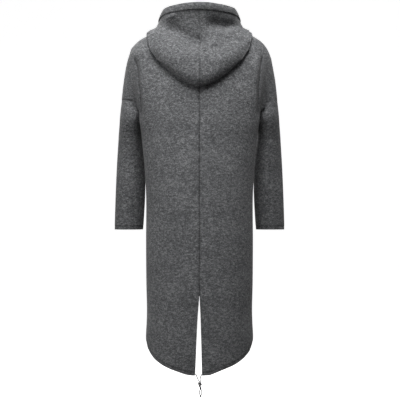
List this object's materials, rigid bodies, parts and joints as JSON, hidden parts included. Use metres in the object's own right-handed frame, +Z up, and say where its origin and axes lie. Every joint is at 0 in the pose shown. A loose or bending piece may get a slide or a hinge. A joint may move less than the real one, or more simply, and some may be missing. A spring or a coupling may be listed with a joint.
{
  "type": "hooded wool coat",
  "caption": "Long hooded boiled wool coat in its worn form, hollow, with dropped shoulders, hood lying on the back, dipped hem, back vent and a drawcord with a lock.",
  "frame": {"origin": "middle of the neck opening, level with the nape seam, where the wearer's neck and shoulders hold the coat up", "axes": "+Z up along the body, front faces -Y, wearer's left is +X"},
  "size_m": [0.589, 0.317, 1.3024],
  "materials": {
    "wool": "felted grey melange boiled wool",
    "band_wool": "felted grey melange boiled wool",
    "cord": "round braided cord",
    "lock": "black moulded plastic"
  },
  "bodies": {
    "root": {"back_left": "wool", "back_right": "wool", "front_left": "wool", "front_right": "wool", "sleeve_left": "wool", "sleeve_right": "wool", "hood_left": "wool", "hood_right": "wool", "hood_band_left": "band_wool", "hood_band_right": "band_wool", "cord_left": "cord", "cord_right": "cord", "cord_tail_left": "cord", "cord_tail_right": "cord", "cord_loop_left": "cord", "cord_loop_right": "cord", "cord_knot": "cord", "cord_end": "cord", "cord_lock": "lock"}
  },
  "joints": []
}
